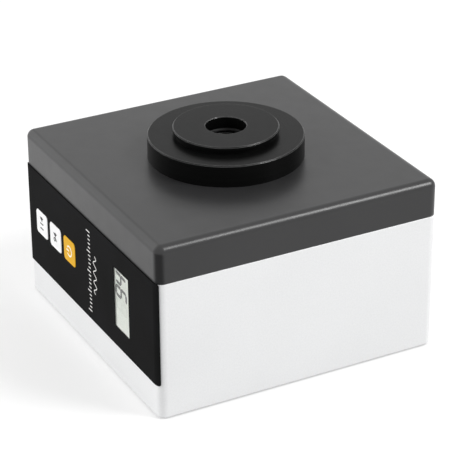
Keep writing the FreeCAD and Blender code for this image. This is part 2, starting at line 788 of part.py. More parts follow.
def panel_film():
    body = new_body("panel_film")
    band = level_sketch(body, PANEL_BOTTOM)
    rounded_rectangle(band, AXIS, "case_width + 2*film_thickness", "case_depth + 2*film_thickness",
                      "corner_radius + film_thickness")
    rounded_rectangle(band, AXIS, "case_width", "case_depth", "corner_radius")
    grow(body, band, "panel_height")
    behind = level_sketch(body, PANEL_BOTTOM)
    rectangle(behind, ("-case_width", "case_width"), (f"{FRONT} + film_wrap", "case_depth"))
    carve(body, behind, "panel_height", reverse=True)
    cut_outs = front_sketch(body, FILM_FACE)
    rectangle(cut_outs, *around(WINDOW_X, PANEL_Z, "window_width/2", "window_height/2"))
    for x in KEY_PLACES.values():
        rounded_rectangle(cut_outs, (x, PANEL_Z), "key_width + 2*key_gap", "key_height + 2*key_gap",
                          "key_corner + key_gap")
    carve(body, cut_outs, "film_thickness")
    corners = sketch(body, "YZ_Plane", "0")
    for level, inward in ((PANEL_BOTTOM, "1"), (f"({PANEL_BOTTOM} + panel_height)", "-1")):
        corner_notch(corners, f"({FRONT} + film_wrap)", level, inward, "min(film_corner; film_wrap)")
    carve(body, corners, "2*case_width", symmetric=True)


def corner_notch(drawing, side, level, inward, radius):
    """What rounding takes off a plate's corner: two straight sides and the arc between them."""
    places = [(f"{side} - {radius}", level), (side, level), (side, f"{level} + {inward}*{radius}")]
    start, corner, end = [FreeCAD.Vector(value(x), value(y), 0) for x, y in places]
    middle = FreeCAD.Vector(start.x, end.y, 0)
    bulge = middle + (corner - middle)*math.sqrt(0.5)
    first = drawing.GeometryCount
    drawing.addGeometry(Part.LineSegment(start, corner), False)
    drawing.addGeometry(Part.LineSegment(corner, end), False)
    arc = Part.Arc(start, bulge, end) if value(inward) > 0 else Part.Arc(end, bulge, start)
    drawing.addGeometry(arc, False)
    drawing.addConstraint(Sketcher.Constraint("Coincident", first, 2, first + 1, 1))
    ends = (1, 2) if value(inward) > 0 else (2, 1)
    drawing.addConstraint(Sketcher.Constraint("Coincident", first, 1, first + 2, ends[0]))
    drawing.addConstraint(Sketcher.Constraint("Coincident", first + 1, 2, first + 2, ends[1]))
    for line, place_end, (x, y) in zip((first, first, first + 1), (1, 2, 2), places):
        dimension(drawing, "DistanceX", line, place_end, x)
        dimension(drawing, "DistanceY", line, place_end, y)
    dimension(drawing, "Radius", first + 2, 0, radius)


def display_window():
    body = new_body("display_window")
    rim = front_sketch(body, FRONT)
    rectangle(rim, *around(WINDOW_X, PANEL_Z, "window_width/2 + lens_rim", "window_height/2 + lens_rim"))
    grow(body, rim, "lens_thickness", reverse=True)
    face = front_sketch(body, FRONT)
    rectangle(face, *around(WINDOW_X, PANEL_Z, "window_width/2 - lens_gap", "window_height/2 - lens_gap"))
    grow(body, face, "film_thickness - lens_setback")


def key(label, x):
    body = new_body(label)
    rim = front_sketch(body, KEY_BACK)
    rounded_rectangle(rim, (x, PANEL_Z), "key_width + 2*key_rim", "key_height + 2*key_rim",
                      "key_corner + key_rim")
    grow(body, rim, "key_rim_thickness")
    cap = front_sketch(body, f"{FRONT} + key_rim_gap")
    rounded_rectangle(cap, (x, PANEL_Z), "key_width", "key_height", "key_corner")
    grow(body, cap, f"{FRONT} + key_rim_gap - {KEY_FACE}")
    on_face = at(KEY_FACE)
    chamfer_edges(body, edges_where(body, lambda point: on_face(point.y)), "key_edge")
    stem = front_sketch(body, KEY_BACK)
    circle(stem, (x, PANEL_Z), "key_stem_radius")
    grow(body, stem, f"{PLUNGER_TIP} - {KEY_BACK}", reverse=True)


def switches():
    bodies = []
    for name, x in KEY_PLACES.items():
        middle = (x, PANEL_Z)
        sides = around(*middle, "switch_width/2", "switch_width/2")
        housing = block(f"{name}_switch_block", sides[0], (SWITCH_FACE, BOARD_FRONT), sides[1])
        well = rod(f"{name}_switch_well", "plunger_radius + plunger_gap", middle, SWITCH_FACE,
                   f"{PLUNGER_END} + key_travel + plunger_gap", "y")
        bodies.append(cut(f"{name}_switch", housing, well))
        plunger = rod(f"{name}_plunger", "plunger_radius", middle, PLUNGER_TIP, PLUNGER_END, "y")
        sub_part(plunger, f"{name}_switch_plunger")
    sub_part(group("switches", bodies), "key_switches")


def display():
    sides = around(WINDOW_X, PANEL_Z, LCD_HALF_X, LCD_HALF_Z)
    sub_part(block("glass", sides[0], (LCD_FRONT, LCD_BACK), sides[1]), "lcd_glass")
    walls = around(WINDOW_X, PANEL_Z, f"{LCD_HALF_X} + lcd_frame_gap + lcd_frame_wall",
                   f"{LCD_HALF_Z} + lcd_frame_gap + lcd_frame_wall")
    seat = around(WINDOW_X, PANEL_Z, f"{LCD_HALF_X} + lcd_frame_gap", f"{LCD_HALF_Z} + lcd_frame_gap")
    opening = around(WINDOW_X, PANEL_Z, f"{LCD_HALF_X} - lcd_ledge", f"{LCD_HALF_Z} - lcd_ledge")
    blank = block("lcd_frame_blank", walls[0], (f"{FRONT_INSIDE} + lcd_gap", BOARD_FRONT), walls[1])
    pocket = block("lcd_frame_pocket", seat[0], (LCD_FRONT, LCD_BACK), seat[1])
    passage = block("lcd_frame_passage", opening[0], (LCD_FRONT, BOARD_FRONT), opening[1])
    sub_part(cut("lcd_holder", blank, pocket, passage), "lcd_frame")
    strips = []
    for side, sign in enumerate(("-1", "1")):
        outer = f"{WINDOW_X} + {sign}*({LCD_HALF_X} - lcd_ledge)"
        inner = f"{WINDOW_X} + {sign}*({LCD_HALF_X} - lcd_ledge - strip_width)"
        strips.append(block(f"contact_strip{side}", sorted((outer, inner), key=value),
                            (LCD_BACK, BOARD_FRONT), opening[1]))
    sub_part(group("strips", strips), "lcd_contact_strips")


# Control board and what sits on it

def control_board():
    half = "board_height/2"
    blank = block("board_blank", (f"-{BOARD_HALF}", BOARD_HALF), (BOARD_FRONT, BOARD_BACK),
                  (f"{PANEL_Z} - {half}", f"{PANEL_Z} + {half}"))
    sizes = ("board_screw_radius", "board_screw_head_radius", "board_screw_head_height")
    holes, screws = [], []
    for number, (x, z) in enumerate(CORNERS):
        centre = (f"{x}*{STANDOFF_X}", f"{PANEL_Z} + {z}*standoff_rise")
        holes.append(rod(f"board_hole{number}", "board_screw_radius + screw_gap", centre,
                         BOARD_FRONT, BOARD_BACK, "y"))
        screws.append(screw(f"board_screw{number}", centre, sizes, BOARD_BACK,
                            f"({BOARD_FRONT} - board_screw_reach)", "y"))
    sub_part(cut("board", blank, *holes), "control_board")
    sub_part(group("board_fixings", screws), "board_screws")


def board_parts():
    connectors = []
    for name, middle in CONNECTOR_PLACES.items():
        sides = around(*middle, "connector_width/2", "connector_height/2")
        connectors.append(block(f"{name}_connector", sides[0], (BOARD_BACK, CONNECTOR_FACE), sides[1]))
    sub_part(group("connectors", connectors), "board_connectors")

    sides = around(CHIP_X, PANEL_Z, "chip_size/2", "chip_size/2")
    sub_part(block("processor", sides[0], (BOARD_BACK, f"{BOARD_BACK} + chip_thickness"), sides[1]),
             "processor_chip")
    cans = []
    for number in range(round(value("capacitor_count"))):
        centre = (f"{CAPACITOR_X} + {number}*capacitor_pitch", f"{PANEL_Z} + capacitor_rise")
        cans.append(rod(f"capacitor{number}", "capacitor_radius", centre, BOARD_BACK,
                        f"{BOARD_BACK} + capacitor_length", "y"))
    sub_part(group("capacitors", cans), "board_capacitors")


# Coupler, adapter and seals

def coupler():
    body = turned("coupler_body", [
        ("cavity_radius", STEM_BOTTOM),
        ("stem_radius", STEM_BOTTOM),
        ("stem_radius", TOP),
        ("flange_radius", TOP),
        ("flange_radius", f"{FLANGE_TOP} - turned_chamfer"),
        ("flange_radius - turned_chamfer", FLANGE_TOP),
        ("socket_radius + turned_chamfer", FLANGE_TOP),
        ("socket_radius", f"{FLANGE_TOP} - turned_chamfer"),
        ("socket_radius", SHOULDER),
        ("cavity_radius", SHOULDER),
    ])
    for fixing, level in (("flange_screw", TOP), ("speaker_screw", STEM_BOTTOM)):
        holes = level_sketch(body, level)
        for x, y in CORNERS:
            circle(holes, diagonal(x, y, f"{fixing}_circle"), f"{fixing}_radius + thread_gap")
        carve(body, holes, f"{fixing}_reach + screw_tip_room", reverse=True)
    port = front_sketch(body, "-stem_radius")
    circle(port, ("0", CAPSULE_Z), f"{BUSH_RADIUS} + press_gap")
    carve(body, port, "stem_radius")

    sizes = ("flange_screw_radius", "flange_screw_head_radius", "flange_screw_head_height")
    screws = [screw(f"flange_screw{number}", diagonal(x, y, "flange_screw_circle"), sizes,
                    ROOF, f"({TOP} + flange_screw_reach)") for number, (x, y) in enumerate(CORNERS)]
    sub_part(group("flange_screws", screws), "coupler_screws")

    sub_part(rod("capsule", "capsule_radius", ("0", CAPSULE_Z), CAPSULE_BACK, CAPSULE_FRONT, "y"),
             "reference_microphone")
    sub_part(tube("bush", "capsule_radius + press_gap", BUSH_RADIUS, ("0", CAPSULE_Z),
                  f"{CAPSULE_BACK} - bush_overhang", CAPSULE_FRONT, "y"), "microphone_bush")


def adapter():
    outer_groove = f"({ADAPTER_SEAL_RADIUS} - adapter_seal_section - press_gap)"
    outer_half = "(adapter_seal_section + seal_room)"
    inner_groove = f"({MICROPHONE_SEAL_RADIUS} + microphone_seal_section + press_gap)"
    inner_half = "(microphone_seal_section + seal_room)"
    turned("microphone_adapter", [
        ("port_radius - port_lip", PLUG_BOTTOM),
        (f"{PLUG_RADIUS} - turned_chamfer", PLUG_BOTTOM),
        (PLUG_RADIUS, f"{PLUG_BOTTOM} + turned_chamfer"),
        (PLUG_RADIUS, f"{ADAPTER_SEAL_Z} - {outer_half}"),
        (outer_groove, f"{ADAPTER_SEAL_Z} - {outer_half}"),
        (outer_groove, f"{ADAPTER_SEAL_Z} + {outer_half}"),
        (PLUG_RADIUS, f"{ADAPTER_SEAL_Z} + {outer_half}"),
        (PLUG_RADIUS, FLANGE_TOP),
        ("neck_radius", FLANGE_TOP),
        ("neck_radius", NECK_TOP),
        ("rim_radius", NECK_TOP),
        ("rim_radius", f"{RIM_TOP} - turned_chamfer"),
        ("rim_radius - turned_chamfer", RIM_TOP),
        ("port_radius + port_chamfer", RIM_TOP),
        ("port_radius", f"{RIM_TOP} - port_chamfer"),
        ("port_radius", f"{MICROPHONE_SEAL_Z} + {inner_half}"),
        (inner_groove, f"{MICROPHONE_SEAL_Z} + {inner_half}"),
        (inner_groove, f"{MICROPHONE_SEAL_Z} - {inner_half}"),
        ("port_radius", f"{MICROPHONE_SEAL_Z} - {inner_half}"),
        ("port_radius", f"{PLUG_BOTTOM} + port_lip_height + port_relief_height"),
        ("port_radius + port_relief", f"{PLUG_BOTTOM} + port_lip_height + port_relief_height"),
        ("port_radius + port_relief", f"{PLUG_BOTTOM} + port_lip_height"),
        ("port_radius - port_lip", f"{PLUG_BOTTOM} + port_lip_height"),
    ])
    for label, radius, section, z in (
            ("adapter_seal", ADAPTER_SEAL_RADIUS, "adapter_seal_section", ADAPTER_SEAL_Z),
            ("microphone_seal", MICROPHONE_SEAL_RADIUS, "microphone_seal_section", MICROPHONE_SEAL_Z)):
        sub_part(torus(label, radius, section, z), label)


def torus(name, radius, section, z, half=False):
    obj = doc.addObject("Part::Torus", name)
    bind(obj, "Radius1", radius)
    bind(obj, "Radius2", section)
    if half:
        obj.Angle1 = -180
        obj.Angle2 = 0
    place(obj, "0", "0", z)
    return obj


# Loudspeaker

def speaker_frame():
    body = turned("speaker_frame", [
        (PLATE_HOLE, BASKET_BOTTOM),
        ("basket_base_radius", BASKET_BOTTOM),
        ("frame_opening + basket_wall", FRAME_UNDER),
        ("stem_radius", FRAME_UNDER),
        ("stem_radius", FRAME_TOP),
        ("frame_opening", FRAME_TOP),
        ("frame_opening", FRAME_UNDER),
        ("basket_base_radius - basket_wall", f"{BASKET_BOTTOM} + basket_wall"),
        (PLATE_HOLE, f"{BASKET_BOTTOM} + basket_wall"),
    ])
    window = level_sketch(body, BASKET_BOTTOM)
    circle(window, ("basket_window_circle", "0"), "basket_window_radius")
    opening = carve(body, window, "basket_depth - frame_thickness", reverse=True)
    pattern = body.newObject("PartDesign::PolarPattern", "basket_pattern")
    pattern.Originals = [opening]
    axis = [f for f in body.Origin.OriginFeatures if f.Role == "Z_Axis"]
    pattern.Axis = (axis[0], [""])
    bind(pattern, "Occurrences", "basket_windows")
    body.Tip = pattern
    doc.recompute()
    holes = level_sketch(body, FRAME_UNDER)
    for x, y in CORNERS:
        circle(holes, diagonal(x, y, "speaker_screw_circle"), "speaker_screw_radius + screw_gap")
    carve(body, holes, "frame_thickness", reverse=True)


def speaker_motor():
    sub_part(tube("top_plate", PLATE_HOLE, "top_plate_radius", AXIS, PLATE_BOTTOM, BASKET_BOTTOM),
             "speaker_top_plate")
    sub_part(tube("magnet", "magnet_hole", "magnet_radius", AXIS, MAGNET_BOTTOM, PLATE_BOTTOM),
             "speaker_magnet")
    turned("speaker_yoke", [
        ("0", YOKE_BOTTOM),
        ("yoke_radius", YOKE_BOTTOM),
        ("yoke_radius", MAGNET_BOTTOM),
        ("pole_radius", MAGNET_BOTTOM),
        ("pole_radius", BASKET_BOTTOM),
        ("0", BASKET_BOTTOM),
    ])


def speaker_cone():
    sub_part(tube("coil", COIL_INNER, COIL_OUTER, AXIS, f"{PLATE_BOTTOM} - coil_drop", COIL_TOP),
             "voice_coil")
    turned("speaker_cone", [
        (COIL_OUTER, f"{COIL_TOP} - cone_thickness"),
        ("cone_radius", f"{CONE_TOP} - cone_thickness"),
        ("cone_radius", CONE_TOP),
        (COIL_OUTER, COIL_TOP),
    ])
    ball_radius = f"(({COIL_OUTER}^2 + cap_height^2)/(2*cap_height))"
    balls = []
    for name, radius in (("cap_ball", ball_radius), ("cap_hollow", f"{ball_radius} - cap_thickness")):
        ball = doc.addObject("Part::Sphere", name)
        bind(ball, "Radius", radius)
        place(ball, "0", "0", f"{COIL_TOP} + cap_height - {ball_radius}")
        balls.append(ball)
    dome = doc.addObject("Part::Common", "cap_dome")
    dome.Base = cut("cap_shell", *balls)
    dome.Tool = rod("cap_limit", "cone_radius", AXIS, COIL_TOP, f"{COIL_TOP} + 2*cap_height")
    sub_part(dome, "dust_cap")


def speaker_mounting():
    ring = tube("gasket_ring", "frame_opening", "stem_radius - gasket_inset", AXIS, FRAME_TOP, STEM_BOTTOM)
    sizes = ("speaker_screw_radius", "speaker_screw_head_radius", "speaker_screw_head_height")
    holes, screws = [], []
    for number, (x, y) in enumerate(CORNERS):
        centre = diagonal(x, y, "speaker_screw_circle")
        holes.append(rod(f"gasket_hole{number}", "speaker_screw_radius + screw_gap", centre,
                         FRAME_TOP, STEM_BOTTOM))
        screws.append(screw(f"speaker_screw{number}", centre, sizes, FRAME_UNDER,
                            f"({STEM_BOTTOM} + speaker_screw_reach)"))
    sub_part(cut("gasket", ring, *holes), "speaker_gasket")
    sub_part(group("speaker_fixings", screws), "speaker_screws")

    base = f"{FRAME_UNDER} + surround_gap"
    hollow_roll = "surround_roll - surround_thickness"
    outside = torus("surround_outside", SURROUND_RADIUS, "surround_roll", base, half=True)
    hollow = torus("surround_inside", SURROUND_RADIUS, hollow_roll, base, half=True)
    sub_part(cut("surround", outside, hollow), "speaker_surround")

    strip = block("terminal_strip", ("-terminal_width/2", "terminal_width/2"),
                  (f"{TERMINAL_BACK} - terminal_thickness", TERMINAL_BACK),
                  (f"{FRAME_UNDER} - terminal_height", FRAME_UNDER))
    lugs = []
    for side, sign in enumerate(("-1", "1")):
        middle = f"{sign}*lug_pitch/2"
        lugs.append(block(f"lug{side}", (f"{middle} - lug_width/2", f"{middle} + lug_width/2"),
                          (LUG_TIP, f"{LUG_TIP} + lug_length"),
                          (f"{LUG_Z} - lug_thickness/2", f"{LUG_Z} + lug_thickness/2")))
    sub_part(fuse("terminals", strip, *lugs), "speaker_terminals")


# Battery, clip and door

def battery():
    body = new_body("battery")
    outline = front_sketch(body, BATTERY_Y)
    rounded_rectangle(outline, (f"({BATTERY_END} - battery_length/2)", BATTERY_Z), "battery_length",
                      "battery_height", "battery_corner")
    grow(body, outline, "battery_width", symmetric=True)

    stud_y, cup_y = f"({BATTERY_Y} - terminal_pitch/2)", f"({BATTERY_Y} + terminal_pitch/2)"
    stud_tip = f"{BATTERY_END} + stud_height"
    stud = rod("battery_stud", "stud_radius", (stud_y, BATTERY_Z), BATTERY_END, stud_tip, "x")
    cup = rod("battery_cup", "cup_radius", (cup_y, BATTERY_Z), BATTERY_END, stud_tip, "x")
    sub_part(group("snaps", (stud, cup)), "battery_terminals")

    face = f"{BATTERY_END} + clip_gap"
    blank = block("clip_blank", (face, f"{face} + clip_thickness"),
                  (f"{BATTERY_Y} - clip_width/2", f"{BATTERY_Y} + clip_width/2"),
                  (f"{BATTERY_Z} - clip_height/2", f"{BATTERY_Z} + clip_height/2"))
    wells = []
    for name, y in (("stud", stud_y), ("cup", cup_y)):
        wells.append(rod(f"{name}_well", f"{name}_radius + stud_gap", (y, BATTERY_Z), face,
                         f"{stud_tip} + stud_gap", "x"))
    sub_part(cut("clip", blank, *wells), "battery_clip")

    half_x, half_y = "battery_length/2 - foam_margin", "battery_width/2 - foam_margin"
    sides = around(f"({BATTERY_END} - battery_length/2)", BATTERY_Y, half_x, half_y)
    sub_part(block("foam", sides[0], sides[1], (BATTERY_TOP, BAY_ROOF)), "battery_foam")


def battery_door():
    body = new_body("battery_door")
    section = front_sketch(body, REAR)
    step, top = f"{BOTTOM} + door_step", f"{BOTTOM} + door_thickness"
    polygon(section, [(f"-{DOOR_HALF}", BOTTOM), (DOOR_HALF, BOTTOM), (DOOR_HALF, step), (RAIL_HALF, step),
                      (RAIL_HALF, top), (f"-{RAIL_HALF}", top), (f"-{RAIL_HALF}", step),
                      (f"-{DOOR_HALF}", step)])
    grow(body, section, f"{REAR} - {DOOR_FRONT}")
    at_rear, at_bottom = at(REAR), at(BOTTOM)
    rear_edge = edges_where(body, lambda point: at_rear(point.y) and at_bottom(point.z))
    round_edges(body, rear_edge, "bottom_fillet")
    groove = level_sketch(body, BOTTOM)
    rectangle(groove, ("-grip_length/2", "grip_length/2"),
              (f"{REAR} - grip_inset - grip_width", f"{REAR} - grip_inset"))
    first = carve(body, groove, "grip_depth", reverse=True)
    pattern = body.newObject("PartDesign::LinearPattern", "grip_pattern")
    pattern.Originals = [first]
    axis = [f for f in body.Origin.OriginFeatures if f.Role == "Y_Axis"]
    pattern.Direction = (axis[0], [""])
    pattern.Reversed = True
    bind(pattern, "Length", "grip_pitch*(grip_count - 1)")
    bind(pattern, "Occurrences", "grip_count")
    body.Tip = pattern
    doc.recompute()


# Leads inside the case

def lead(name, points):
    """A round lead along straight runs joined by the largest tangent arcs that fit."""
    route = [FreeCAD.Vector(*(value(text) for text in point)) for point in points]
    edges, radii, start = [], [], route[0]
    for before, corner, after in zip(route, route[1:], route[2:]):
        back, onward = (before - corner), (after - corner)
        reach = BEND_SHARE*min(back.Length, onward.Length)
        back.normalize()
        onward.normalize()
        half_turn = (math.pi - back.getAngle(onward))/2
        radius = reach/math.tan(half_turn)
        middle = (back + onward).normalize()*(radius/math.cos(half_turn) - radius)
        arc_start, arc_end = corner + back*reach, corner + onward*reach
        edges.append(Part.LineSegment(start, arc_start).toShape())
        edges.append(Part.Arc(arc_start, corner + middle, arc_end).toShape())
        radii.append(round(radius, 1))
        start = arc_end
    edges.append(Part.LineSegment(start, route[-1]).toShape())
    path = Part.Wire(edges)
    ring = Part.Wire(Part.makeCircle(value("lead_radius"), route[0], route[1] - route[0]))
    shape = path.makePipeShell([ring], True, False)
    expected = math.pi*value("lead_radius")**2*path.Length
    print(f"{name}: bend radii {radii}, volume {shape.Volume/expected:.4f} of section times length")
    obj = doc.addObject("Part::Feature", name)
    obj.Shape = shape
    return obj


def leads():
    power_x, power_z = CONNECTOR_PLACES["power"]
    exit_y = f"({BATTERY_Y} - clip_width/2)"
    for label, sign in (("battery_lead_positive", "-1"), ("battery_lead_negative", "1")):
        beside = f"{sign}*lead_pitch/2"
        start_x, end_x = f"{CLIP_X} + {beside}", f"{power_x} + {beside}"
        sub_part(lead(label, [
            (start_x, exit_y, BATTERY_Z),
            (start_x, f"{exit_y} - battery_lead_exit", BATTERY_Z),
            (f"{start_x} - battery_lead_sway", f"{exit_y} - battery_lead_bend",
             f"{BATTERY_Z} + battery_lead_rise"),
            (f"{end_x} + battery_lead_sway", f"{CONNECTOR_FACE} + battery_lead_approach",
             f"{power_z} + battery_lead_rise/2"),
            (end_x, f"{CONNECTOR_FACE} + battery_lead_entry", power_z),
            (end_x, CONNECTOR_FACE, power_z),
        ]), label)

    speaker_x, speaker_z = CONNECTOR_PLACES["speaker"]
    pair = []
    for side, sign in enumerate(("-1", "1")):
        start_x, end_x = f"{sign}*lug_pitch/2", f"{speaker_x} + {sign}*lead_pitch/2"
        pair.append(lead(f"speaker_lead{side}", [
            (start_x, LUG_TIP, LUG_Z),
            (start_x, f"{LUG_TIP} - speaker_lead_end", LUG_Z),
            (f"({start_x} + {end_x})/2", f"({LUG_TIP} + {CONNECTOR_FACE})/2",
             f"({LUG_Z} + {speaker_z})/2 - speaker_lead_sag"),
            (end_x, f"{CONNECTOR_FACE} + speaker_lead_end", speaker_z),
            (end_x, CONNECTOR_FACE, speaker_z),
        ]))
    sub_part(group("speaker_pair", pair), "speaker_leads")

    far_x, far_z = CONNECTOR_PLACES["microphone"]
    sub_part(lead("capsule_lead", [
        ("0", CAPSULE_BACK, CAPSULE_Z),
        ("0", f"{CAPSULE_BACK} - microphone_lead_exit", CAPSULE_Z),
        (f"{far_x}/2", f"({CAPSULE_BACK} + {CONNECTOR_FACE})/2",
         f"({CAPSULE_Z} + {far_z})/2 - microphone_lead_sag"),
        (far_x, f"{CONNECTOR_FACE} + microphone_lead_entry", far_z),
        (far_x, CONNECTOR_FACE, far_z),
    ]), "microphone_lead")


def check(obj):
    if "Invalid" in obj.State or "Error" in obj.State:
        raise RuntimeError(f"{obj.Label} failed to build: {obj.State}")


def main():
    lower_case()
    upper_case()
    case_fasteners()
    panel_film()
    display_window()
    for name, x in KEY_PLACES.items():
        key("power_key" if name == "power" else f"level_key_{name}", x)
    switches()
    display()
    control_board()
    board_parts()
    coupler()
    adapter()
    speaker_frame()
    speaker_motor()
    speaker_cone()
    speaker_mounting()
    battery()
    battery_door()
    leads()
    doc.recompute()
    for obj in doc.Objects:
        check(obj)
    for obj in sub_parts:
        if obj.Shape.isNull() or not obj.Shape.isValid() or not obj.Shape.Solids:
            raise RuntimeError(f"{obj.Label} has no valid solid")
    os.makedirs("parts", exist_ok=True)
    for obj in sub_parts:
        obj.Shape.exportStep(f"parts/{obj.Label}.step")
    print(f"{len(sub_parts)} sub-parts")


main()
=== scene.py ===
import math

import bmesh
import bpy
from mathutils import Matrix, Vector


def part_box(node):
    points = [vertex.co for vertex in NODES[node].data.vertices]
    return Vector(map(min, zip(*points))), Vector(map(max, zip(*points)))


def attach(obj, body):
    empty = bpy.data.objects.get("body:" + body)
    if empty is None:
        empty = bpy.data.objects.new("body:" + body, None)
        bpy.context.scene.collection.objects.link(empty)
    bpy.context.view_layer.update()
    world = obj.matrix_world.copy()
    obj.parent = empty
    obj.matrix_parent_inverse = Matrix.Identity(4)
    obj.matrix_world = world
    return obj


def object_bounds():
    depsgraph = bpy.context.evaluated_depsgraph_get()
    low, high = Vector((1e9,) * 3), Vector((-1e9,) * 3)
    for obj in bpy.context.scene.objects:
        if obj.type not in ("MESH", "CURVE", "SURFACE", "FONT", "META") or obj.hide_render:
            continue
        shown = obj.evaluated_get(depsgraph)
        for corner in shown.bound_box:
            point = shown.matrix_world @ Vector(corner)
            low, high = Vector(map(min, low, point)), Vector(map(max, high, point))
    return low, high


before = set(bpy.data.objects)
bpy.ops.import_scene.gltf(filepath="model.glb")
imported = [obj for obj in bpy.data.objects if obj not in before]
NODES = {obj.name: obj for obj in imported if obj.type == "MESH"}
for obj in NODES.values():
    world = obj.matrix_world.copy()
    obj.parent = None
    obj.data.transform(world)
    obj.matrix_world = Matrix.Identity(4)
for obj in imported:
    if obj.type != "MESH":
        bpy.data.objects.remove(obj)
CAD_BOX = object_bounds()
MM = 0.001

# The camera at the photograph's angle, in millimetres and degrees
CAMERA_PLACE = (552.44, -291.27, 352.45)
CAMERA_AIM = (-1.47, 0.22, 33.26)
CAMERA_ROLL = -0.372
CAMERA_LENS = 168.96
SENSOR_WIDTH = 36.0

# The studio, in metres, watts and degrees. Colours and light levels are linear.
FLOOR_SIZE = 6.0
FLOOR_COLOUR = 0.56
FLOOR_GLOW = 0.42
SKY_LIGHT = 0.72
SKY_SEEN = 1.0
FLAG_SIZE = 0.27
FLAG_PLACE = (0.135, -0.19, 0.0006)
FLAG_TURN = -28.0
FLAG_COLOUR = 0.01
# A lamp's name, place, size and watts, whether it lights surfaces, and whether it shows in reflections
LAMPS = (
    ("left_softbox", (-0.55, -1.15, 0.55), 0.9, 9.2, True, False),
    ("rear_softbox", (0.75, 0.75, 1.05), 0.6, 13.0, True, True),
    ("edge_softbox", (-1.0, -0.56, 0.52), 1.3, 3.0, False, True),
)

# The printed marks, in millimetres and degrees. A figure's height is a share of its font's size.
PRINT_DEPTH = 0.03
KEY_NUMBERS = (("level_key_high", "high_key", "114"), ("level_key_low", "low_key", "94"))
KEY_NUMBER_HEIGHT = 2.5
KEY_NUMBER_BOLD = 0.05
FIGURE_SHARE = 0.7
STANDBY_RADIUS = 1.75
STANDBY_LINE = 0.58
STANDBY_GAP = 38.0
STANDBY_STEPS = 40
STANDBY_BAR = 1.9
STANDBY_BAR_FOOT = 0.2625
SCALE_X = 0.4
SCALE_FOOT = 15.4
SCALE_HEAD = 44.3
SCALE_STEPS = 20
SCALE_LONG_EVERY = 5
SCALE_LONG = 2.6
SCALE_SHORT = 1.5
SCALE_LINE = 0.42
WAVE_X = 4.9
WAVE_FOOT = 23.2
WAVE_HEAD = 37.1
WAVE_HEIGHT = 1.05
WAVE_TURNS = 4
WAVE_TURN_STEPS = 24
WAVE_LINE = 0.36

# The display, in millimetres and degrees. A segment's ends are shares of a digit's width and height.
WINDOW_FRONT_MARGIN = 0.1
MASK_WIDTH = 0.6
DIGIT_HEIGHT = 7.2
DIGIT_WIDTH = 3.2
DIGIT_PITCH = 4.7
DIGIT_LINE = 1.1
DIGIT_GAP = 0.02
DIGIT_SLANT = 5.0
DIGIT_TOP_ROOM = 1.3
DIGIT_END_ROOM = 1.75
SEGMENTS = {
    "a": ((0.0, 1.0), (1.0, 1.0)),
    "b": ((1.0, 1.0), (1.0, 0.5)),
    "c": ((1.0, 0.5), (1.0, 0.0)),
    "d": ((0.0, 0.0), (1.0, 0.0)),
    "e": ((0.0, 0.5), (0.0, 0.0)),
    "f": ((0.0, 1.0), (0.0, 0.5)),
    "g": ((0.0, 0.5), (1.0, 0.5)),
}
LIT_SEGMENTS = {"9": "abcdfg", "4": "bcfg", " ": ""}
DISPLAY_TEXT = " 94"

# Worn edges, which also carry a painted highlight: how far two normals agree where wear and highlight start
# and end, and how far up the edge has to face
WEAR_AND_HIGHLIGHT_FULL = 0.86
WEAR_AND_HIGHLIGHT_NONE = 0.99
WEAR_AND_HIGHLIGHT_UP_NONE = 0.05
WEAR_AND_HIGHLIGHT_UP_FULL = 0.25
WEAR_AND_HIGHLIGHT_SAMPLES = 8

# Patterns of single materials: the coil's wire in millimetres, the board's tracks, the battery's end band
WIRE_PITCH = 0.25
TRACK_SCALE = 160.0
TRACK_GAP = 0.035
TRACK_BLUR = 0.2
BATTERY_BAND_SHARE = 0.28


# Node trees


def join(tree, source, socket):
    """Sets the socket to a plain value, or links it to another node's socket."""
    if isinstance(source, bpy.types.NodeSocket):
        tree.links.new(source, socket)
    else:
        socket.default_value = source


def add_node(tree, kind, sockets=None, **settings):
    """A new node, with its settings and with its sockets set or linked."""
    node = tree.nodes.new(kind)
    for key, setting in settings.items():
        setattr(node, key, setting)
    for socket, source in (sockets or {}).items():
        join(tree, source, node.inputs[socket])
    return node


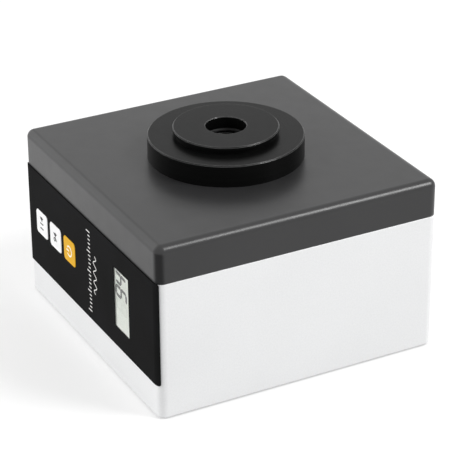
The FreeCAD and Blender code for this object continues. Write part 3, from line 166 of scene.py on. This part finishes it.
class Finish:
    """One procedural material: its node tree, its shader and the object's own coordinates."""

    def __init__(self, name):
        self.name = name
        self.material = bpy.data.materials.new(name)
        self.material.use_nodes = True
        self.tree = self.material.node_tree
        self.shader = self.tree.nodes["Principled BSDF"]
        self.place = self.add("ShaderNodeTexCoord").outputs["Object"]

    def add(self, kind, sockets=None, **settings):
        """A new node of this material."""
        return add_node(self.tree, kind, sockets, **settings)

    def shade(self, **sockets):
        """Sets or links the shader's own sockets, named with underscores for spaces."""
        for name, source in sockets.items():
            join(self.tree, source, self.shader.inputs[name.replace("_", " ")])
        return self

    def noise(self, size, detail=2.0, place=None):
        """A noise whose features are about that size, in metres."""
        sockets = {"Vector": place or self.place, "Scale": 1.0 / size, "Detail": detail}
        return self.add("ShaderNodeTexNoise", sockets).outputs["Fac"]

    def span(self, value, low, high, start=0.3, end=0.7):
        """The value spread from start to end over low to high. A noise lies mostly from 0.3 to 0.7."""
        sockets = {"Value": value, "From Min": start, "From Max": end, "To Min": low, "To Max": high}
        return self.add("ShaderNodeMapRange", sockets).outputs["Result"]

    def math(self, operation, *values):
        """One sum of plain values and sockets."""
        return self.add("ShaderNodeMath", dict(enumerate(values)), operation=operation).outputs["Value"]

    def vector(self, operation, *values):
        """The node of one sum of vectors."""
        return self.add("ShaderNodeVectorMath", dict(enumerate(values)), operation=operation)

    def mix(self, share, first, second):
        """A colour between the first and the second."""
        node = self.add("ShaderNodeMix", data_type="RGBA")
        for socket in node.inputs:
            if socket.name == "Factor" and socket.type == "VALUE":
                join(self.tree, share, socket)
            elif socket.name in "AB" and socket.type == "RGBA":
                join(self.tree, first if socket.name == "A" else second, socket)
        return next(socket for socket in node.outputs if socket.type == "RGBA")

    def mottled(self, noise, first, second):
        """A colour that the noise takes from the first to the second."""
        return self.mix(self.span(noise, 0.0, 1.0), first, second)

    def bump(self, height, depth):
        """A normal from a height between 0 and 1 that stands for that depth, in metres."""
        return self.add("ShaderNodeBump", {"Height": height, "Distance": depth}).outputs["Normal"]

    def coordinate(self, axis):
        """One of the object's own coordinates, in metres."""
        return self.add("ShaderNodeSeparateXYZ", {"Vector": self.place}).outputs[axis]

    def stretched(self, x, y, z):
        """The object's coordinates, each multiplied by a factor of its own."""
        return self.vector("MULTIPLY", self.place, (x, y, z)).outputs["Vector"]

    def radius(self):
        """The distance from the object's upright axis, in metres."""
        return self.vector("LENGTH", self.stretched(1.0, 1.0, 0.0)).outputs["Value"]

    def edges(self, width):
        """1 along upper edges, where a rounding of that width would wear and light from above would catch,
        and 0 elsewhere: the mask of rubbed edges and painted edge highlights.
        """
        rounded = self.add("ShaderNodeBevel", {"Radius": width}, samples=WEAR_AND_HIGHLIGHT_SAMPLES).outputs["Normal"]
        plain = self.add("ShaderNodeNewGeometry").outputs["Normal"]
        same = self.vector("DOT_PRODUCT", rounded, plain).outputs["Value"]
        up = self.add("ShaderNodeSeparateXYZ", {"Vector": rounded}).outputs["Z"]
        bent = self.span(same, 1.0, 0.0, WEAR_AND_HIGHLIGHT_FULL, WEAR_AND_HIGHLIGHT_NONE)
        upper = self.span(up, 0.0, 1.0, WEAR_AND_HIGHLIGHT_UP_NONE, WEAR_AND_HIGHLIGHT_UP_FULL)
        return self.math("MULTIPLY", bent, upper)


def grey(level):
    """A neutral colour of that linear level."""
    return (level, level, level, 1.0)


def scaled(colour, factor):
    """The colour, lighter or darker by a factor."""
    return tuple(channel * factor for channel in colour[:3]) + (1.0,)


# Materials, one short function for each kind


def moulded_plastic(name, colour, roughness, shine, spread, rub_and_highlight_share, rubbed_and_highlit):
    """Moulded plastic with a fine spark-eroded texture, faint cloudy colour, and upper edges made lighter,
    partly rubbed and partly a painted highlight.
    """
    finish = Finish(name)
    cloud = finish.noise(28 * MM, detail=3.0)
    speck = finish.noise(0.55 * MM, detail=1.0)
    body = finish.mottled(cloud, scaled(colour, 1 - spread), scaled(colour, 1 + spread))
    body = finish.mix(finish.span(speck, 0.0, 0.10), body, scaled(colour, 0.6))
    patches = finish.span(finish.noise(3 * MM), 0.1, rub_and_highlight_share)
    # The upper edges' lighter colour is partly rubbing and partly a painted highlight.
    wear_and_highlight = finish.math("MULTIPLY", finish.edges(0.5 * MM), patches)
    return finish.shade(
        Base_Color=finish.mix(wear_and_highlight, body, scaled(colour, rubbed_and_highlit)),
        Roughness=finish.span(finish.noise(6 * MM), roughness - 0.02, roughness + 0.03),
        Normal=finish.bump(finish.noise(0.42 * MM), 0.010 * MM),
        Specular_IOR_Level=shine,
    )


def film():
    """Matt polyester film, printed black from behind, with a fine embossed skin."""
    finish = Finish("film")
    cloud = finish.noise(14 * MM, detail=3.0)
    skin = finish.noise(0.30 * MM, detail=1.0)
    return finish.shade(
        Base_Color=finish.mottled(cloud, grey(0.0100), (0.0120, 0.0120, 0.0126, 1.0)),
        Roughness=finish.span(skin, 0.52, 0.66),
        Normal=finish.bump(skin, 0.010 * MM),
        Specular_IOR_Level=0.01,
    )


def key_cap(name, colour, shine):
    """A satin key cap, not quite even in colour and gloss."""
    finish = Finish(name)
    cloud = finish.noise(4 * MM)
    skin = finish.noise(0.35 * MM, detail=1.0)
    return finish.shade(
        Base_Color=finish.mottled(cloud, scaled(colour, 0.97), scaled(colour, 1.02)),
        Roughness=finish.span(finish.noise(2.5 * MM), 0.34, 0.46),
        Normal=finish.bump(skin, 0.006 * MM),
        Specular_IOR_Level=shine,
    )


def window():
    """Clear plastic with faint wiping marks. It bends and reflects little, so the digits stay dark."""
    finish = Finish("window")
    wiped = finish.noise(1.0 * MM, detail=3.0, place=finish.stretched(0.5, 1.0, 3.0))
    return finish.shade(
        Base_Color=(0.98, 0.99, 0.98, 1.0),
        Roughness=finish.span(wiped, 0.0, 0.03),
        Transmission_Weight=1.0,
        IOR=1.36,
        Specular_Tint=grey(0.0),
    )


def display():
    """Reflective display glass, grey-green, with painted shade that makes it a little darker towards its
    head.
    """
    finish = Finish("display")
    low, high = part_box("lcd_glass")
    # Painted shade: the glass darkens towards its head.
    head = finish.span(finish.coordinate("Z"), 0.0, 1.0, low.z, high.z)
    cloud = finish.span(finish.noise(5 * MM), -0.12, 0.12)
    share = finish.math("ADD", head, cloud)
    return finish.shade(
        Base_Color=finish.mix(share, (0.80, 0.82, 0.765, 1.0), (0.74, 0.765, 0.71, 1.0)),
        Roughness=finish.span(finish.noise(0.2 * MM, detail=0.0), 0.24, 0.34),
        Specular_IOR_Level=0.1,
    )


def anodised():
    """Turned aluminium, black anodised: fine tool marks round the axis, and upper edges rubbed bare to
    bright metal that also stands as a painted highlight.
    """
    finish = Finish("anodised")
    along = finish.math("ADD", finish.radius(), finish.coordinate("Z"))
    course = finish.add("ShaderNodeCombineXYZ", {"X": along}).outputs["Vector"]
    fine = finish.noise(0.22 * MM, detail=1.0, place=course)
    broad = finish.noise(2.2 * MM, place=course)
    cloud = finish.noise(9 * MM)
    body = finish.mottled(broad, grey(0.0018), (0.0034, 0.0036, 0.0034, 1.0))
    # Bright bare metal along the upper edges: partly wear, partly a painted highlight.
    wear_and_highlight = finish.math("MULTIPLY", finish.edges(0.35 * MM), finish.span(cloud, 0.4, 0.9))
    return finish.shade(
        Base_Color=finish.mix(wear_and_highlight, body, grey(0.42)),
        Metallic=wear_and_highlight,
        Roughness=finish.math("ADD", finish.span(fine, 0.25, 0.31), finish.span(cloud, 0.0, 0.05)),
        Normal=finish.bump(fine, 0.002 * MM),
        Specular_IOR_Level=0.095,
    )


def rubber():
    """Matt black rubber with a faint bloom."""
    finish = Finish("rubber")
    bloom = finish.noise(1.6 * MM, detail=3.0)
    return finish.shade(
        Base_Color=finish.mottled(bloom, grey(0.016), grey(0.026)),
        Roughness=finish.span(finish.noise(0.5 * MM), 0.62, 0.82),
        Normal=finish.bump(finish.noise(0.4 * MM, detail=3.0), 0.02 * MM),
        Specular_IOR_Level=0.35,
    )


def foam():
    """Open-cell foam: small round pores."""
    finish = Finish("foam")
    cells = finish.add("ShaderNodeTexVoronoi", {"Vector": finish.place, "Scale": 1 / (0.9 * MM)})
    pores = cells.outputs["Distance"]
    return finish.shade(
        Base_Color=finish.mix(finish.span(pores, 0.0, 1.0, 0.1, 0.6), grey(0.02), grey(0.09)),
        Roughness=0.95,
        Normal=finish.bump(pores, 0.3 * MM),
        Specular_IOR_Level=0.1,
    )


def plain_metal(name, colour, roughness, lines):
    """Bare or plated metal with fine drawn lines and a little cloudy tarnish."""
    finish = Finish(name)
    drawn = finish.noise(0.25 * MM, place=finish.stretched(1.0, 1.0, lines))
    tarnish = finish.noise(2.4 * MM, detail=3.0)
    return finish.shade(
        Base_Color=finish.mottled(tarnish, scaled(colour, 0.82), colour),
        Metallic=1.0,
        Roughness=finish.span(drawn, roughness - 0.06, roughness + 0.10),
        Normal=finish.bump(drawn, 0.006 * MM),
    )


def wound_copper():
    """Enamelled wire, wound in fine even turns up the coil, with painted shade in the grooves between turns
    and a painted highlight on their crests.
    """
    finish = Finish("copper")
    phase = finish.math("MULTIPLY", finish.coordinate("Z"), 2 * math.pi / (WIRE_PITCH * MM))
    height = finish.span(finish.math("SINE", phase), 0.0, 1.0, -1.0, 1.0)
    return finish.shade(
        # Painted shade and highlight: dark copper in the grooves, bright copper on the crests.
        Base_Color=finish.mix(height, (0.36, 0.13, 0.05, 1.0), (0.78, 0.36, 0.16, 1.0)),
        Metallic=1.0,
        Roughness=finish.span(finish.noise(0.6 * MM), 0.24, 0.36),
        Normal=finish.bump(height, 0.06 * MM),
    )


def circuit_board():
    """Green solder mask over straight tracks, with a fine glass weave under it."""
    finish = Finish("board")
    upright = {"Vector": finish.place, "Rotation": (math.radians(90), 0, 0)}
    turned = finish.add("ShaderNodeMapping", upright).outputs["Vector"]
    pattern = {"Vector": turned, "Scale": TRACK_SCALE, "Mortar Size": TRACK_GAP, "Mortar Smooth": TRACK_BLUR}
    tracks = finish.add("ShaderNodeTexBrick", pattern).outputs["Fac"]
    weave = finish.span(finish.noise(0.4 * MM, detail=0.0), 0.0, 0.25)
    body = finish.mix(tracks, (0.012, 0.095, 0.038, 1.0), (0.03, 0.19, 0.075, 1.0))
    return finish.shade(
        Base_Color=finish.mix(weave, body, (0.02, 0.13, 0.05, 1.0)),
        Roughness=finish.span(finish.noise(2 * MM), 0.28, 0.42),
        Normal=finish.bump(tracks, 0.03 * MM),
    )


def small_moulding(name, colour, roughness):
    """A small engineering-plastic moulding with a faint flow pattern."""
    finish = Finish(name)
    flow = finish.noise(2.0 * MM, detail=3.0)
    skin = finish.noise(0.25 * MM, detail=1.0)
    return finish.shade(
        Base_Color=finish.mottled(flow, scaled(colour, 0.85), scaled(colour, 1.1)),
        Roughness=finish.span(skin, roughness - 0.06, roughness + 0.06),
        Normal=finish.bump(skin, 0.008 * MM),
        Specular_IOR_Level=0.4,
    )


def ferrite():
    """Sintered ferrite: dark grey with a fine granular face."""
    finish = Finish("ferrite")
    grains = finish.noise(0.35 * MM, detail=4.0)
    return finish.shade(
        Base_Color=finish.mottled(grains, grey(0.035), grey(0.075)),
        Roughness=finish.span(grains, 0.55, 0.75),
        Normal=finish.bump(grains, 0.03 * MM),
    )


def pressed_fibre():
    """A pressed-fibre cone: short fibres, lightly coated."""
    finish = Finish("cone")
    fibres = finish.noise(0.5 * MM, detail=4.0, place=finish.stretched(1.0, 2.2, 1.0))
    return finish.shade(
        Base_Color=finish.mottled(fibres, grey(0.045), grey(0.11)),
        Roughness=finish.span(fibres, 0.6, 0.85),
        Normal=finish.bump(fibres, 0.05 * MM),
        Specular_IOR_Level=0.3,
    )


def painted_metal():
    """A pressed basket under thin dark paint."""
    finish = Finish("frame_metal")
    peel = finish.noise(0.8 * MM)
    return finish.shade(
        Base_Color=finish.mottled(peel, grey(0.085), grey(0.11)),
        Roughness=finish.span(peel, 0.32, 0.46),
        Normal=finish.bump(peel, 0.015 * MM),
    )


def battery_jacket():
    """A plain battery: a dark printed jacket with a copper-coloured end band."""
    finish = Finish("battery_jacket")
    low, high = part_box("battery")
    band_end = low.x + BATTERY_BAND_SHARE * (high.x - low.x)
    band = finish.math("LESS_THAN", finish.coordinate("X"), band_end)
    scuff = finish.span(finish.noise(3 * MM, detail=4.0), 0.0, 0.25)
    body = finish.mix(band, (0.030, 0.036, 0.046, 1.0), (0.52, 0.25, 0.08, 1.0))
    return finish.shade(
        Base_Color=finish.mix(scuff, body, grey(0.16)),
        Roughness=finish.span(finish.noise(1.2 * MM), 0.22, 0.36),
        Normal=finish.bump(finish.noise(1.5 * MM), 0.01 * MM),
    )


def insulation(name, colour):
    """Soft insulation on a thin lead."""
    finish = Finish(name)
    cloud = finish.noise(1.5 * MM)
    return finish.shade(
        Base_Color=finish.mottled(cloud, scaled(colour, 0.85), scaled(colour, 1.1)),
        Roughness=finish.span(finish.noise(0.4 * MM), 0.38, 0.52),
        Normal=finish.bump(finish.noise(0.3 * MM), 0.006 * MM),
    )


def ink(name, colour, roughness=0.5):
    """Printed ink, not quite even."""
    finish = Finish(name)
    cover = finish.noise(0.5 * MM)
    return finish.shade(
        Base_Color=finish.mottled(cover, scaled(colour, 0.92), colour),
        Roughness=finish.span(finish.noise(0.2 * MM), roughness - 0.05, roughness + 0.05),
        Specular_IOR_Level=0.2,
    )


FINISHES = (
    # The edge factors set how far the upper edges are lightened: partly rubbing, partly a painted highlight.
    moulded_plastic(
        "lid_plastic", (0.022, 0.022, 0.0226), roughness=0.31, shine=0.44, spread=0.05, rub_and_highlight_share=0.5, rubbed_and_highlit=1.9
    ),
    moulded_plastic(
        "base_plastic", (0.835, 0.84, 0.845), roughness=0.40, shine=0.35, spread=0.012, rub_and_highlight_share=0.4, rubbed_and_highlit=1.06
    ),
    film(),
    key_cap("key_white", (0.92, 0.92, 0.92), shine=0.3),
    key_cap("key_orange", (0.77, 0.42, 0.014), shine=0.08),
    window(),
    display(),
    anodised(),
    rubber(),
    foam(),
    plain_metal("steel", (0.56, 0.56, 0.57, 1.0), roughness=0.30, lines=1.0),
    plain_metal("brass", (0.74, 0.54, 0.24, 1.0), roughness=0.28, lines=6.0),
    circuit_board(),
    small_moulding("chip", (0.020, 0.020, 0.022), roughness=0.46),
    small_moulding("connector", (0.74, 0.69, 0.58), roughness=0.42),
    plain_metal("can", (0.58, 0.58, 0.60, 1.0), roughness=0.26, lines=0.2),
    ferrite(),
    pressed_fibre(),
    wound_copper(),
    painted_metal(),
    battery_jacket(),
    insulation("lead_red", (0.50, 0.022, 0.020)),
    insulation("lead_black", (0.018, 0.018, 0.019)),
    ink("dark_ink", (0.022, 0.022, 0.024, 1.0)),
    ink("pale_ink", (0.80, 0.80, 0.79, 1.0)),
    ink("cream_ink", (0.95, 0.92, 0.80, 1.0), roughness=0.45),
    ink("lit_segment", (0.003, 0.003, 0.003, 1.0)),
    ink("unlit_segment", (0.72, 0.745, 0.69, 1.0)),
)
MATERIALS = {finish.name: finish.material for finish in FINISHES}

for node in NODES.values():
    for material_slot in node.material_slots:
        material_slot.material = MATERIALS[material_slot.material.name.split(".")[0]]


# Meshes and objects


def finished_mesh(name, made):
    """The mesh of what was made."""
    mesh = bpy.data.meshes.new(name)
    made.to_mesh(mesh)
    made.free()
    return mesh


def new_object(name, data):
    """A new object in the scene."""
    thing = bpy.data.objects.new(name, data)
    bpy.context.scene.collection.objects.link(thing)
    return thing


def add_piece(name, mesh, place, finish, body):
    """A mesh as a piece of the object, moved to its place, that rides on a body."""
    mesh.transform(place)
    mesh.materials.append(MATERIALS[finish])
    piece = new_object(name, mesh)
    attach(piece, body)


# Printed marks. They read upwards on the front panel, with their heads towards the keys' end.

READING_TURN = Matrix(((0, -1, 0), (0, 0, -1), (1, 0, 0))).to_4x4()


def panel_place(x, y, z=0.0):
    """The turn and place of a mark whose origin is at that point, in metres."""
    return Matrix.Translation((x, y, z)) @ READING_TURN


def plates(name, outlines):
    """A mesh of thin flat plates, one from each closed outline in millimetres."""
    made = bmesh.new()
    for outline in outlines:
        foot = [made.verts.new((x * MM, y * MM, 0.0)) for x, y in outline]
        head = [made.verts.new((x * MM, y * MM, PRINT_DEPTH * MM)) for x, y in outline]
        made.faces.new(head)
        made.faces.new(list(reversed(foot)))
        for i in range(len(outline)):
            j = (i + 1) % len(outline)
            made.faces.new((foot[i], foot[j], head[j], head[i]))
    bmesh.ops.recalc_face_normals(made, faces=made.faces)
    return finished_mesh(name, made)


def ribbon(path, width):
    """The outline of a line of that width along a path of points."""
    sides = ([], [])
    for i, point in enumerate(path):
        before = path[max(i - 1, 0)]
        after = path[min(i + 1, len(path) - 1)]
        along = (after - before).normalized()
        across = Vector((-along.y, along.x)) * width / 2
        sides[0].append(point + across)
        sides[1].append(point - across)
    return sides[0] + sides[1][::-1]


def bar(x0, x1, y0, y1):
    """A rectangle's outline."""
    return [(x0, y0), (x1, y0), (x1, y1), (x0, y1)]


def number_mesh(name, text):
    """Plain figures as a thin mesh, centred."""
    curve = bpy.data.curves.new(name, "FONT")
    curve.body = text
    curve.align_x = "CENTER"
    curve.align_y = "CENTER"
    curve.size = KEY_NUMBER_HEIGHT * MM / FIGURE_SHARE
    curve.extrude = PRINT_DEPTH * MM / 2
    curve.offset = KEY_NUMBER_BOLD * MM
    holder = bpy.data.objects.new(name + "_curve", curve)
    mesh = bpy.data.meshes.new_from_object(holder)
    bpy.data.objects.remove(holder)
    mesh.transform(Matrix.Translation((0, 0, PRINT_DEPTH * MM / 2)))
    return mesh


def key_face(node):
    """The middle of a key's face, in metres."""
    low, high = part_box(node)
    return (low.x + high.x) / 2, low.y, (low.z + high.z) / 2


def key_numbers():
    """The sound levels on the two white keys."""
    for node, body, text in KEY_NUMBERS:
        name = node + "_number"
        add_piece(name, number_mesh(name, text), panel_place(*key_face(node)), "dark_ink", body)


def standby_mark():
    """An open ring with a bar through its gap."""
    first = math.radians(90 + STANDBY_GAP)
    sweep = math.radians(360 - 2 * STANDBY_GAP)
    turns = [first + sweep * i / STANDBY_STEPS for i in range(STANDBY_STEPS + 1)]
    ring = [Vector((math.cos(turn), math.sin(turn))) * STANDBY_RADIUS for turn in turns]
    half = STANDBY_LINE / 2
    stem = bar(-half, half, STANDBY_BAR_FOOT, STANDBY_BAR_FOOT + STANDBY_BAR)
    mesh = plates("power_key_mark", [ribbon(ring, STANDBY_LINE), stem])
    place = panel_place(*key_face("power_key"))
    add_piece("power_key_mark", mesh, place, "cream_ink", "power_button")


def panel_scale():
    """A plain scale of ticks, where the panel carries its print."""
    pitch = (SCALE_HEAD - SCALE_FOOT) / SCALE_STEPS
    half = SCALE_LINE / 2
    foot = -SCALE_LONG / 2
    ticks = []
    for i in range(SCALE_STEPS + 1):
        z = SCALE_FOOT + pitch * i
        reach = SCALE_SHORT if i % SCALE_LONG_EVERY else SCALE_LONG
        ticks.append(bar(z - half, z + half, foot, foot + reach))
    place = panel_place(SCALE_X * MM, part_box("panel_film")[0].y)
    add_piece("panel_scale", plates("panel_scale", ticks), place, "pale_ink", "housing")


def panel_wave():
    """A sine wave beside the scale."""
    steps = WAVE_TURN_STEPS * WAVE_TURNS
    wave = []
    for i in range(steps + 1):
        share = i / steps
        z = WAVE_FOOT + (WAVE_HEAD - WAVE_FOOT) * share
        rise = WAVE_HEIGHT * math.sin(2 * math.pi * WAVE_TURNS * share)
        wave.append(Vector((z, rise)))
    mesh = plates("panel_wave", [ribbon(wave, WAVE_LINE)])
    place = panel_place(WAVE_X * MM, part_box("panel_film")[0].y)
    add_piece("panel_wave", mesh, place, "pale_ink", "housing")


def display_opening():
    """The lowest and highest corner of the window's front, which shows in the film."""
    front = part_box("display_window")[0].y
    points = [vertex.co for vertex in NODES["display_window"].data.vertices]
    shown = [point for point in points if point.y < front + WINDOW_FRONT_MARGIN * MM]
    xs = [point.x for point in shown]
    zs = [point.z for point in shown]
    return Vector((min(xs), front, min(zs))), Vector((max(xs), front, max(zs)))


def segment(name, left):
    """The six-sided outline of one segment of a digit whose foot starts at left, in millimetres."""
    start, end = (Vector((x * DIGIT_WIDTH, y * DIGIT_HEIGHT)) for x, y in SEGMENTS[name])
    along = (end - start).normalized()
    across = Vector((-along.y, along.x)) * DIGIT_LINE / 2
    start = start + along * DIGIT_GAP
    end = end - along * DIGIT_GAP
    near = start + along * DIGIT_LINE / 2
    far = end - along * DIGIT_LINE / 2
    corners = (start, near + across, far + across, end, far - across, near - across)
    lean = math.tan(math.radians(DIGIT_SLANT))
    return [(left + corner.x + lean * corner.y, corner.y) for corner in corners]


def display_digits():
    """Seven-segment digits on the display glass, with the unlit segments faintly there."""
    low, high = display_opening()
    last_left = high.z / MM - DIGIT_END_ROOM - DIGIT_WIDTH
    lit = []
    unlit = []
    for i, digit in enumerate(DISPLAY_TEXT):
        left = last_left - DIGIT_PITCH * (len(DISPLAY_TEXT) - 1 - i)
        for name in SEGMENTS:
            chosen = lit if name in LIT_SEGMENTS[digit] else unlit
            chosen.append(segment(name, left))
    foot_x = low.x + (DIGIT_TOP_ROOM + DIGIT_HEIGHT) * MM
    place = panel_place(foot_x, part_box("lcd_glass")[0].y)
    for name, outlines, finish in (
        ("display_lit_segments", lit, "lit_segment"),
        ("display_unlit_segments", unlit, "unlit_segment"),
    ):
        add_piece(name, plates(name, outlines), place, finish, "housing")


def display_mask():
    """A black border printed on the window at the digits' heads."""
    low, high = display_opening()
    border = bar(low.z / MM, high.z / MM, 0.0, MASK_WIDTH)
    place = panel_place(low.x + MASK_WIDTH * MM, low.y)
    add_piece("display_mask", plates("display_mask", [border]), place, "film", "housing")


key_numbers()
standby_mark()
panel_scale()
panel_wave()
display_digits()
display_mask()


# Floor, light and camera


def seen_rays(tree):
    """1 for what the camera sees directly, in a reflection or through glass, else 0."""
    rays = add_node(tree, "ShaderNodeLightPath").outputs
    total = rays["Is Camera Ray"]
    for name in ("Is Glossy Ray", "Is Transmission Ray"):
        either = add_node(tree, "ShaderNodeMath", {0: total, 1: rays[name]}, operation="MAXIMUM")
        total = either.outputs["Value"]
    return total


def flat_square(name, size):
    """A flat square mesh, centred."""
    made = bmesh.new()
    bmesh.ops.create_grid(made, x_segments=1, y_segments=1, size=size / 2)
    return finished_mesh(name, made)


def floor():
    """A pale floor that takes shadows and looks white where the camera sees it."""
    material = bpy.data.materials.new("floor")
    material.use_nodes = True
    tree = material.node_tree
    tree.nodes.clear()
    matt = add_node(tree, "ShaderNodeBsdfDiffuse", {"Color": grey(FLOOR_COLOUR)})
    share = add_node(tree, "ShaderNodeMath", {0: seen_rays(tree), 1: FLOOR_GLOW}, operation="MULTIPLY")
    glow = add_node(tree, "ShaderNodeEmission", {"Strength": share.outputs["Value"]})
    both = add_node(tree, "ShaderNodeAddShader", {0: matt.outputs["BSDF"], 1: glow.outputs["Emission"]})
    add_node(tree, "ShaderNodeOutputMaterial", {"Surface": both.outputs["Shader"]})
    mesh = flat_square("floor", FLOOR_SIZE)
    mesh.materials.append(material)
    ground = new_object("floor", mesh)


def front_flag():
    """A dark card on the floor before the front corner. It shows in reflections alone."""
    mesh = flat_square("front_flag", FLAG_SIZE)
    mesh.transform(Matrix.Translation(FLAG_PLACE) @ Matrix.Rotation(math.radians(FLAG_TURN), 4, "Z"))
    mesh.materials.append(Finish("front_flag").shade(Base_Color=grey(FLAG_COLOUR)).material)
    card = new_object("front_flag", mesh)
    card.visible_camera = False
    card.visible_diffuse = False
    card.visible_transmission = False
    card.visible_shadow = False


def sky():
    """A white surround, brighter to the camera than the light it gives."""
    world = bpy.data.worlds.new("studio")
    world.use_nodes = True
    tree = world.node_tree
    levels = {"Value": seen_rays(tree), "To Min": SKY_LIGHT, "To Max": SKY_SEEN}
    strength = add_node(tree, "ShaderNodeMapRange", levels).outputs["Result"]
    background = tree.nodes["Background"].inputs
    join(tree, grey(1.0), background["Color"])
    join(tree, strength, background["Strength"])
    bpy.context.scene.world = world


def lamps():
    """Round softboxes, all turned to the middle of the object."""
    aim = Vector((0, 0, CAD_BOX[1][2] / 2))
    for name, place, size, watts, lighting, mirrored in LAMPS:
        light = bpy.data.lights.new(name, "AREA")
        light.shape = "DISK"
        light.size = size
        light.energy = watts
        lamp = new_object(name, light)
        lamp.location = place
        lamp.rotation_euler = (aim - lamp.location).to_track_quat("-Z", "Y").to_euler()
        lamp.visible_diffuse = lighting
        lamp.visible_glossy = mirrored


def camera():
    """The photograph's view."""
    data = bpy.data.cameras.new("camera")
    data.lens = CAMERA_LENS
    data.sensor_width = SENSOR_WIDTH
    place = Vector(CAMERA_PLACE) * MM
    aim = Vector(CAMERA_AIM) * MM
    turn = (aim - place).to_track_quat("-Z", "Y").to_matrix().to_4x4()
    roll = Matrix.Rotation(math.radians(CAMERA_ROLL), 4, "Z")
    eye = new_object("camera", data)
    eye.matrix_world = Matrix.Translation(place) @ turn @ roll
    bpy.context.scene.camera = eye


floor()
front_flag()
sky()
lamps()
camera()
bpy.context.scene.view_settings.view_transform = "Standard"
